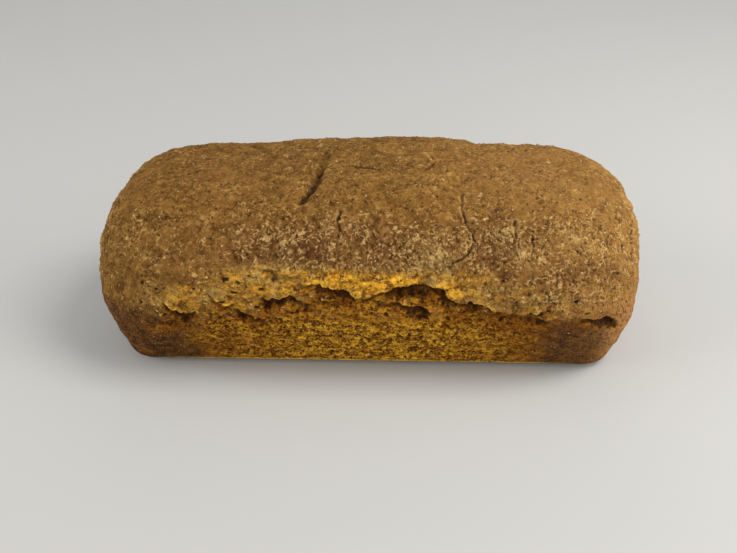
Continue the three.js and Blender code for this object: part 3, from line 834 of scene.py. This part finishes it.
def stretched(x, y, z):
    n = node("ShaderNodeMapping")
    link(place, n.inputs["Vector"])
    n.inputs["Scale"].default_value = (x, y, z)
    return n.outputs["Vector"]


def tex_noise(scale, detail=3.0, rough=0.55, vector=None, distort=0.0):
    n = node("ShaderNodeTexNoise")
    link(vector or place, n.inputs["Vector"])
    n.inputs["Scale"].default_value = scale
    n.inputs["Detail"].default_value = detail
    n.inputs["Roughness"].default_value = rough
    n.inputs["Distortion"].default_value = distort
    return n.outputs["Fac"]


def tex_cells(scale, vector=None, feature="F1"):
    n = node("ShaderNodeTexVoronoi", feature=feature)
    link(vector or place, n.inputs["Vector"])
    n.inputs["Scale"].default_value = scale
    return n


def channels(name):
    a = node("ShaderNodeAttribute", attribute_name=name)
    s = node("ShaderNodeSeparateColor")
    link(a.outputs["Color"], s.inputs[0])
    return s.outputs[0], s.outputs[1], s.outputs[2]


k_coarse, k_smooth, k_gold_and_reflection = channels("kinds")
m_painted_shade, m_fleck_and_highlight, m_flour = channels("marks")
t_purple, t_rim_highlight, t_torn_and_shade = channels("tones")
z_belt, z_painted_side_light, z_relief_light_shade = channels("zones")

wide = tex_noise(26, 3)
hue = tex_noise(75, 3, 0.55)
patchy = tex_noise(170, 4, 0.6)
grain = tex_noise(470, 4, 0.70)
grit = tex_noise(1150, 3, 0.7)
streak = tex_noise(1.0, 4, 0.65, stretched(210, 210, 430))
blotch = tex_noise(1.0, 3, 0.6, stretched(150, 150, 330))
crooked = node("ShaderNodeVectorMath", operation="MULTIPLY_ADD")
wobble = node("ShaderNodeTexNoise")
link(place, wobble.inputs["Vector"])
wobble.inputs["Scale"].default_value = 900
link(wobble.outputs["Color"], crooked.inputs[0])
crooked.inputs[1].default_value = (0.0011, 0.0011, 0.0011)
link(place, crooked.inputs[2])
crooked = crooked.outputs[0]


def specks(scale, share, size, soft=0.5):
    """Crooked little spots: share of the cells that hold one (number or socket), and their size."""
    n = tex_cells(scale, crooked)
    pick = node("ShaderNodeSeparateColor")
    link(n.outputs["Color"], pick.inputs[0])
    chosen = math_("GREATER_THAN", share, pick.outputs[0])
    r = math_("MULTIPLY_ADD", pick.outputs[1], size * 0.6, size * 0.55)
    edge = math_("DIVIDE", n.outputs["Distance"], r)
    return math_("MULTIPLY", span(edge, 1.0 - soft, 1.0, 1.0, 0.0), chosen), pick.outputs[2]


# upper crust
brown = mix(span(hue, 0.36, 0.64), bread(130, 93, 47), bread(156, 112, 66))
brown = mix(span(wide, 0.50, 0.68, 0.0, 0.35), brown, bread(164, 114, 72))
brown = mix(span(patchy, 0.34, 0.50, 0.80, 0.0), brown, bread(108, 70, 34))
brown = mix(span(patchy, 0.55, 0.69, 0.0, 0.60), brown, bread(182, 140, 90))
brown = mix(span(tex_noise(260, 3, 0.6), 0.36, 0.47, 0.45, 0.0), brown, bread(100, 64, 30))
busy = math_("MAXIMUM", span(tex_noise(60, 3, 0.6), 0.40, 0.60, 0.42, 1.0), math_("MULTIPLY", z_belt, 0.9))
# painted light and shade: paler towards the right and the ends, darker towards the left
brown = mix(span(z_painted_side_light, 0.5, 1.0, 0.0, 0.40), brown, bread(188, 140, 100, 0.66, 0.56))
brown = mix(span(z_painted_side_light, 0.0, 0.5, 0.18, 0.0), brown, bread(118, 82, 40))
# painted shade in the hollows of the relief, painted highlight on its crests
brown = mix(span(z_relief_light_shade, 0.0, 0.42, 0.90, 0.0), brown, bread(80, 48, 26))
brown = mix(span(z_relief_light_shade, 0.62, 0.98, 0.0, 0.55), brown, bread(204, 160, 114))
brown = mix(math_("MULTIPLY", span(grain, 0.33, 0.47, 0.92, 0.0), busy), brown, bread(64, 36, 18))
brown = mix(math_("MULTIPLY", span(grain, 0.55, 0.69, 0.0, 0.65), busy), brown, bread(216, 174, 128))
brown = mix(math_("MULTIPLY", span(grit, 0.33, 0.45, 0.70, 0.0), busy), brown, bread(60, 34, 18))
brown = mix(math_("MULTIPLY", span(grit, 0.56, 0.66, 0.0, 0.42), busy), brown, bread(232, 186, 138))
brown = mix(math_("MULTIPLY", t_purple, 0.76), brown, bread(98, 56, 40))
# golden, opened bread, partly its own colour and partly a painted warm reflection from below
golden_and_reflection = mix(span(streak, 0.38, 0.60), fresh(140, 95, 32), fresh(208, 163, 62))
golden_and_reflection = mix(span(patchy, 0.36, 0.52, 0.65, 0.0), golden_and_reflection, fresh(110, 64, 28))
# painted shade in the hollows of the relief, painted highlight on its crests
golden_and_reflection = mix(span(z_relief_light_shade, 0.20, 0.52, 0.90, 0.0), golden_and_reflection, fresh(84, 44, 26))
golden_and_reflection = mix(span(z_relief_light_shade, 0.60, 0.95, 0.0, 0.75), golden_and_reflection, fresh(224, 198, 116, 0.30))
gritty = math_("MULTIPLY_ADD", k_coarse, 0.65, 0.35)
golden_and_reflection = mix(span(blotch, 0.38, 0.50, 0.95, 0.0), golden_and_reflection, fresh(88, 46, 16))
golden_and_reflection = mix(span(blotch, 0.53, 0.64, 0.0, 0.85), golden_and_reflection, fresh(228, 186, 88, 0.26))
golden_and_reflection = mix(math_("MULTIPLY", span(grain, 0.36, 0.50, 0.95, 0.0), gritty), golden_and_reflection, fresh(80, 38, 20))
golden_and_reflection = mix(span(grain, 0.53, 0.66, 0.0, 0.70), golden_and_reflection, fresh(208, 182, 100, 0.32))
golden_and_reflection = mix(math_("MULTIPLY", span(grit, 0.34, 0.46, 0.85, 0.0), gritty), golden_and_reflection, fresh(58, 28, 16))
golden_and_reflection = mix(span(grit, 0.55, 0.65, 0.0, 0.60), golden_and_reflection, fresh(226, 206, 144, 0.34))
# crust that lay against the tin
tinned = mix(span(patchy, 0.35, 0.65), bread(68, 35, 14, 0.50, 0.47), bread(118, 71, 32, 0.57, 0.48))
# painted light: paler at the ends and towards the right
tinned = mix(span(z_painted_side_light, 0.2, 1.0, 0.0, 0.80), tinned, bread(204, 150, 106, 0.70, 0.62))
tinned = mix(span(grain, 0.36, 0.52, 0.85, 0.0), tinned, bread(44, 22, 10))
# painted highlight on the crests of the relief
tinned = mix(span(z_relief_light_shade, 0.50, 0.80, 0.0, 0.6), tinned, bread(172, 116, 72))
tinned = mix(span(grain, 0.56, 0.70, 0.0, 0.45), tinned, bread(168, 118, 76))
tinned = mix(span(grit, 0.54, 0.66, 0.0, 0.65), tinned, bread(190, 142, 100))
tinned = mix(span(grit, 0.34, 0.44, 0.60, 0.0), tinned, bread(40, 20, 10))

colour = mix(math_("MULTIPLY", k_smooth, 0.9), brown, tinned)
# the lower sides: golden brown, partly their own colour and partly a painted warm reflection from below
low_brown_and_reflection = mix(span(streak, 0.36, 0.62), fresh(90, 46, 15), fresh(150, 92, 31))
low_brown_and_reflection = mix(math_("MULTIPLY", span(grain, 0.36, 0.50, 0.9, 0.0), gritty), low_brown_and_reflection, fresh(60, 30, 16))
low_brown_and_reflection = mix(span(grain, 0.54, 0.68, 0.0, 0.6), low_brown_and_reflection, fresh(190, 146, 78, 0.30))
colour = mix(math_("MULTIPLY", k_coarse, 0.72), colour, low_brown_and_reflection)
# golden colour, partly a painted warm reflection from below
gold_and_reflection_fac = math_("MULTIPLY", k_gold_and_reflection, span(hue, 0.25, 0.5, 0.55, 1.0), clamp=True)
colour = mix(gold_and_reflection_fac, colour, golden_and_reflection)
# shredded bread under the lips, darkened by painted shade
shreds_and_shade = mix(span(grain, 0.38, 0.6), fresh(64, 34, 20), fresh(132, 85, 38))
shreds_and_shade = mix(span(streak, 0.5, 0.66, 0.0, 0.5), shreds_and_shade, fresh(178, 126, 56, 0.24))
colour = mix(math_("MULTIPLY", t_torn_and_shade, span(hue, 0.3, 0.7, 0.92, 0.42), clamp=True), colour, shreds_and_shade)
colour = mix(math_("MULTIPLY", m_flour, span(grain, 0.38, 0.58, 0.20, 0.80), clamp=True), colour, bread(178, 158, 112, 0.72, 0.66))
# painted highlight along the edges of the tears and the foot
colour = mix(math_("MULTIPLY", t_rim_highlight, 0.80, clamp=True), colour, fresh(240, 206, 124, 0.26))
tanned = math_("MULTIPLY", t_purple, math_("MAXIMUM", k_coarse, k_smooth))
colour = mix(math_("MULTIPLY", tanned, span(grain, 0.35, 0.6, 0.75, 0.45), clamp=True), colour, bread(84, 46, 32))
# small pores in the skin, darkened as painted shade, and bran
thin_share = math_("ADD", math_("MULTIPLY", k_coarse, 0.20), 0.16)
pore_shade, _ = specks(400, thin_share, 0.34)
colour = mix(math_("MULTIPLY", pore_shade, 0.75), colour, bread(66, 38, 20))
bran_share = math_("MULTIPLY_ADD", z_belt, span(hue, 0.40, 0.62, 0.0, 0.14), 0.055)
bran_share = math_("MULTIPLY", bran_share, math_("SUBTRACT", 1.0, math_("MULTIPLY", k_coarse, 0.8)))
bran, tone = specks(560, math_("MULTIPLY", bran_share, math_("SUBTRACT", 1.0, math_("MULTIPLY", k_smooth, 0.6))), 0.36, 0.5)
fleck_tone = mix(tone, bread(190, 150, 112, 0.8, 0.8), bread(226, 196, 170, 0.8, 0.8))
colour = mix(math_("MULTIPLY", bran, 0.7), colour, fleck_tone)
# pale flecks of bran and dough, partly painted highlight on crests
fleck_and_highlight_fac = math_("MULTIPLY", m_fleck_and_highlight, span(grit, 0.32, 0.55, 0.20, 0.85), clamp=True)
colour = mix(fleck_and_highlight_fac, colour, bread(224, 186, 140, 0.75, 0.64))
# painted shade in pores and crevices
painted_shade_fac = math_("MULTIPLY", span(m_painted_shade, 0.05, 0.85), span(grain, 0.3, 0.7, 1.0, 0.82), clamp=True)
colour = mix(painted_shade_fac, colour, bread(62, 36, 24))

bsdf = node("ShaderNodeBsdfPrincipled")
link(colour, bsdf.inputs["Base Color"])
rough = span(grain, 0.3, 0.7, 0.78, 0.95)
rough = math_("SUBTRACT", rough, math_("MULTIPLY", k_smooth, 0.14), clamp=True)
link(rough, bsdf.inputs["Roughness"])
bsdf.inputs["Specular IOR Level"].default_value = 0.08
bsdf.inputs["IOR"].default_value = 1.42

relief = math_("ADD", math_("MULTIPLY", grain, 0.85), math_("MULTIPLY", grit, 0.40))
relief = math_("SUBTRACT", relief, math_("MULTIPLY", pore_shade, 0.20))
relief = math_("MULTIPLY_ADD", bran, 0.10, relief)
bump = node("ShaderNodeBump")
bump.inputs["Strength"].default_value = 1.0
bump.inputs["Distance"].default_value = 0.0020
link(relief, bump.inputs["Height"])
link(bump.outputs["Normal"], bsdf.inputs["Normal"])
out = node("ShaderNodeOutputMaterial")
link(bsdf.outputs["BSDF"], out.inputs["Surface"])
mesh.materials.append(mat)


# --------------------------------------------------- floor, light, camera
def plain(name, rgb, roughness):
    m = bpy.data.materials.new(name)
    m.use_nodes = True
    b = m.node_tree.nodes["Principled BSDF"]
    b.inputs["Base Color"].default_value = rgb
    b.inputs["Roughness"].default_value = roughness
    b.inputs["Specular IOR Level"].default_value = 0.2
    return m


floor_mesh = bpy.data.meshes.new("floor")
s = 6.0
floor_mesh.from_pydata([(-s, -s, 0), (s, -s, 0), (s, s, 0), (-s, s, 0)], [], [(0, 1, 2, 3)])
floor = bpy.data.objects.new("floor", floor_mesh)
bpy.context.scene.collection.objects.link(floor)
floor_mesh.materials.append(plain("floor_pale", lin(163, 162, 159), 0.9))

scene = bpy.context.scene
world = bpy.data.worlds.new("studio")
scene.world = world
world.use_nodes = True
world.node_tree.nodes["Background"].inputs[0].default_value = (0.95, 0.97, 1.0, 1.0)
world.node_tree.nodes["Background"].inputs[1].default_value = 0.56


def area(name, at, aim, size, watts, rgb=(1, 1, 1)):
    data = bpy.data.lights.new(name, "AREA")
    data.shape, data.size, data.size_y = "RECTANGLE", size[0], size[1]
    data.energy, data.color = watts, rgb
    o = bpy.data.objects.new(name, data)
    o.location = at
    o.rotation_euler = (Vector(aim) - Vector(at)).to_track_quat("-Z", "Y").to_euler()
    scene.collection.objects.link(o)
    return o


area("key", (0.66, -0.18, 1.0), (0, 0, 0.05), (0.55, 0.55), 12.6, (1.0, 0.985, 0.96))
area("front", (0.05, -1.2, 0.55), (0, 0, 0.05), (0.9, 0.5), 4.6, (1.0, 0.98, 0.95))
area("right", (1.38, -0.34, 0.38), (0.05, 0, 0.05), (1.1, 0.9), 18.5, (1.0, 0.98, 0.95))
area("left", (-1.38, -0.36, 0.46), (-0.05, 0, 0.05), (1.1, 0.9), 19.5, (1.0, 0.985, 0.97))
area("back", (-0.1, 1.5, 0.80), (0, 0, 0.04), (1.4, 0.8), 6.0, (1.0, 0.99, 0.98))

PITCH, ROLL, YAW = 0.5558, -0.0222, -0.0633
ahead = Vector((math.sin(YAW) * math.cos(PITCH), math.cos(YAW) * math.cos(PITCH), -math.sin(PITCH)))
right = Vector((math.cos(YAW), -math.sin(YAW), 0.0))
above = right.cross(ahead)
turned_right = right * math.cos(ROLL) + above * math.sin(ROLL)
turned_up = above * math.cos(ROLL) - right * math.sin(ROLL)
cam_data = bpy.data.cameras.new("camera")
cam_data.sensor_width = 36.0
cam_data.sensor_fit = "HORIZONTAL"
cam_data.lens = 36.0 * 900.0 / 737.0
cam_data.clip_start, cam_data.clip_end = 0.01, 50.0
camera = bpy.data.objects.new("camera", cam_data)
rot = Matrix((turned_right, turned_up, -ahead)).transposed()
camera.matrix_world = Matrix.Translation(Vector((0.0277579 + TO_CAD[0] / 1000, -0.4434180 + TO_CAD[1] / 1000, 0.3024291))) @ rot.to_4x4()
scene.collection.objects.link(camera)
scene.camera = camera
scene.view_settings.view_transform = "Standard"
scene.view_settings.look = "None"
